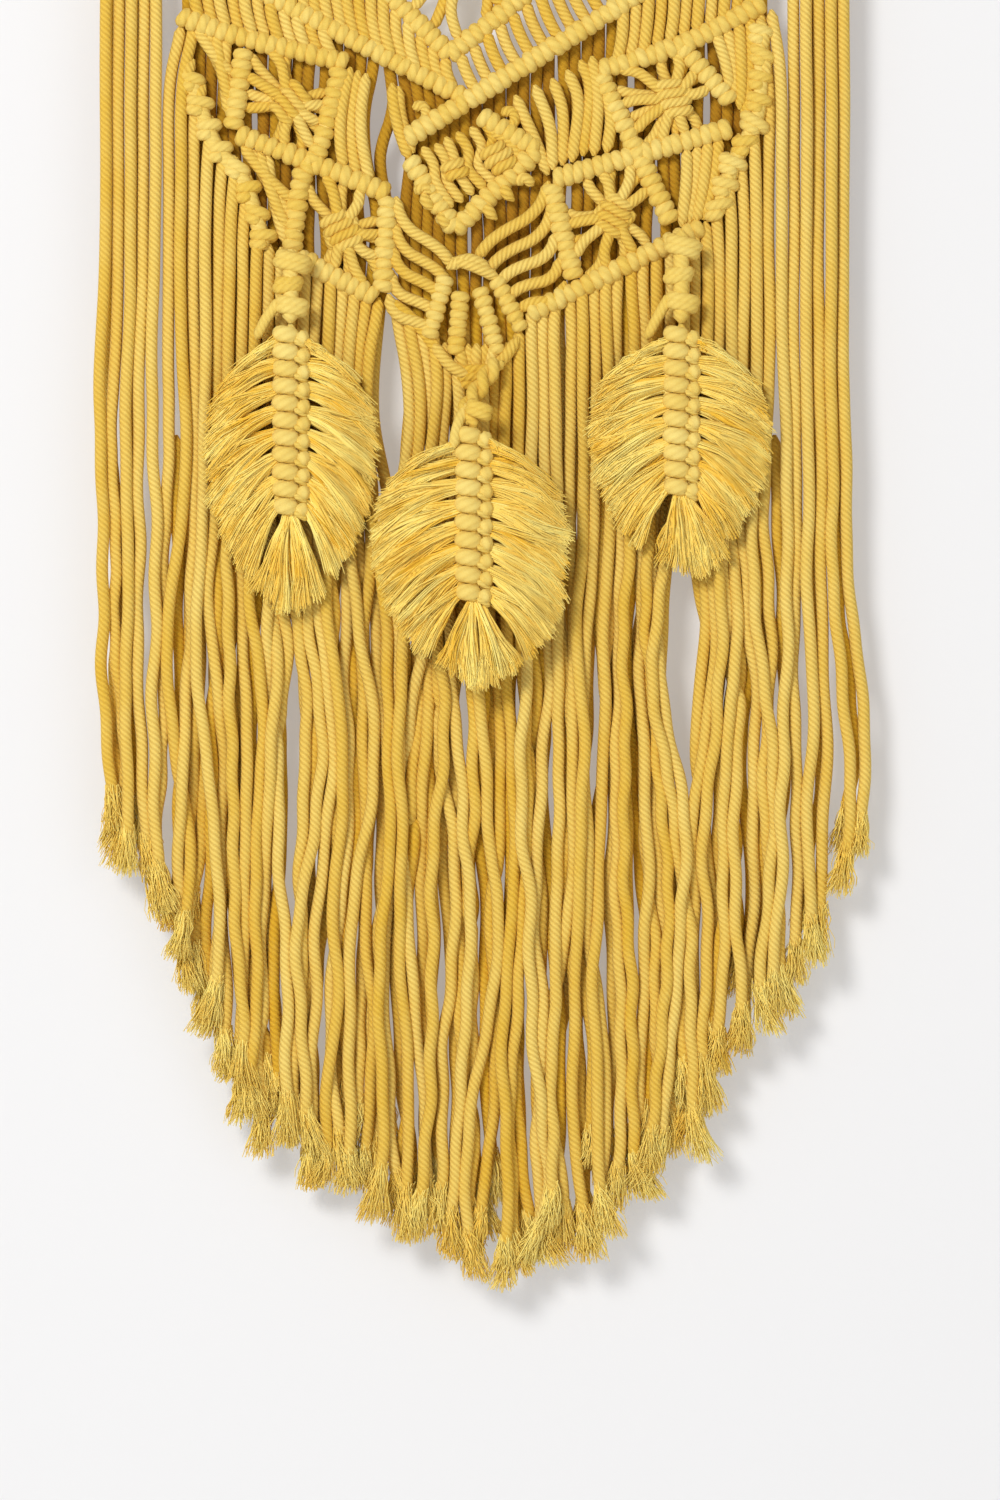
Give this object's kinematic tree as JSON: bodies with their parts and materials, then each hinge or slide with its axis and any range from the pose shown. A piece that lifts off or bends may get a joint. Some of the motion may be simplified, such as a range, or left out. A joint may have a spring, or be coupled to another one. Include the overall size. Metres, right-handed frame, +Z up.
{
  "type": "knotted wall hanging",
  "caption": "Wall hanging of knotted cotton cord on a wooden dowel: a panel that narrows to a point, leaf pendants and a fringe cut to a curve.",
  "frame": {"origin": "the point where the hanging cord rests on its nail", "axes": "+Z up, +X to the viewer's right along the dowel, +Y from the viewer into the wall; the viewer stands at -Y"},
  "size_m": [0.3, 0.0297, 0.7039],
  "materials": {
    "cotton_cord": "twisted cotton cord, matt",
    "brushed_cotton": "brushed cotton fibres, matt",
    "wood": "plain sanded wood"
  },
  "bodies": {
    "hanger": {"hanging_cord": "cotton_cord"},
    "panel": {"dowel": "wood", "larks_head_row": "cotton_cord", "top_hitch_bar": "cotton_cord", "top_strands": "cotton_cord", "zigzag_upper": "cotton_cord", "zigzag_lower": "cotton_cord", "inner_chevron": "cotton_cord", "upper_left_flower": "cotton_cord", "upper_right_flower": "cotton_cord", "center_flower": "cotton_cord", "left_shoulder_strands": "cotton_cord", "right_shoulder_strands": "cotton_cord", "left_long_diagonal": "cotton_cord", "right_long_diagonal": "cotton_cord", "left_upper_rail": "cotton_cord", "right_upper_rail": "cotton_cord", "left_upper_side": "cotton_cord", "right_upper_side": "cotton_cord", "left_cross_bars": "cotton_cord", "right_cross_bars": "cotton_cord", "left_lower_side": "cotton_cord", "right_lower_side": "cotton_cord", "left_lower_rail": "cotton_cord", "right_lower_rail": "cotton_cord", "left_chain": "cotton_cord", "right_chain": "cotton_cord", "left_upper_flower": "cotton_cord", "left_lower_flower": "cotton_cord", "right_upper_flower": "cotton_cord", "right_lower_flower": "cotton_cord", "left_inner_strands": "cotton_cord", "right_inner_strands": "cotton_cord", "center_diamond": "cotton_cord", "center_diamond_strands": "cotton_cord", "left_fan": "cotton_cord", "right_fan": "cotton_cord", "left_tip_bars": "cotton_cord", "right_tip_bars": "cotton_cord", "tip_knot": "cotton_cord", "outer_left_fringe": "cotton_cord", "left_fringe": "cotton_cord", "center_fringe": "cotton_cord", "right_fringe": "cotton_cord", "outer_right_fringe": "cotton_cord"},
    "left_pendant": {"left_hanging_knots": "cotton_cord"},
    "left_leaf": {"left_leaf_spine": "cotton_cord", "left_leaf_fibres": "brushed_cotton"},
    "center_pendant": {"center_hanging_knots": "cotton_cord"},
    "center_leaf": {"center_leaf_spine": "cotton_cord", "center_leaf_fibres": "brushed_cotton"},
    "right_pendant": {"right_hanging_knots": "cotton_cord"},
    "right_leaf": {"right_leaf_spine": "cotton_cord", "right_leaf_fibres": "brushed_cotton"},
    "lower_left": {"lower_left_fringe": "cotton_cord"},
    "lower_center": {"lower_center_fringe": "cotton_cord"},
    "lower_right": {"lower_right_fringe": "cotton_cord"}
  },
  "joints": [
    {"name": "panel_swing", "type": "hinge", "parent": "hanger", "child": "panel", "pos_m": [0, 0, -0.13], "axis": [-1, 0, 0], "range_deg": [0, 45]},
    {"name": "left_pendant_sway", "type": "hinge", "parent": "panel", "child": "left_pendant", "pos_m": [-0.0588, -0.0086, -0.371], "axis": [0, 1, 0], "range_deg": [-15, 15]},
    {"name": "left_leaf_lift", "type": "hinge", "parent": "left_pendant", "child": "left_leaf", "pos_m": [-0.0588, -0.0086, -0.3966], "axis": [-1, 0, 0], "range_deg": [0, 60]},
    {"name": "center_pendant_sway", "type": "hinge", "parent": "panel", "child": "center_pendant", "pos_m": [-0.0005, -0.0073, -0.4095], "axis": [0, 1, 0], "range_deg": [-15, 15]},
    {"name": "center_leaf_lift", "type": "hinge", "parent": "center_pendant", "child": "center_leaf", "pos_m": [-0.0005, -0.0152, -0.429], "axis": [-1, 0, 0], "range_deg": [0, 60]},
    {"name": "right_pendant_sway", "type": "hinge", "parent": "panel", "child": "right_pendant", "pos_m": [0.0658, -0.0086, -0.365], "axis": [0, 1, 0], "range_deg": [-15, 15]},
    {"name": "right_leaf_lift", "type": "hinge", "parent": "right_pendant", "child": "right_leaf", "pos_m": [0.0658, -0.0086, -0.3966], "axis": [-1, 0, 0], "range_deg": [0, 60]},
    {"name": "lower_left_lift", "type": "hinge", "parent": "panel", "child": "lower_left", "pos_m": [-0.074, 0, -0.514], "axis": [-1, 0, 0], "range_deg": [0, 60]},
    {"name": "lower_center_lift", "type": "hinge", "parent": "panel", "child": "lower_center", "pos_m": [0, 0, -0.514], "axis": [-1, 0, 0], "range_deg": [0, 60]},
    {"name": "lower_right_lift", "type": "hinge", "parent": "panel", "child": "lower_right", "pos_m": [0.074, 0, -0.514], "axis": [-1, 0, 0], "range_deg": [0, 60]}
  ]
}
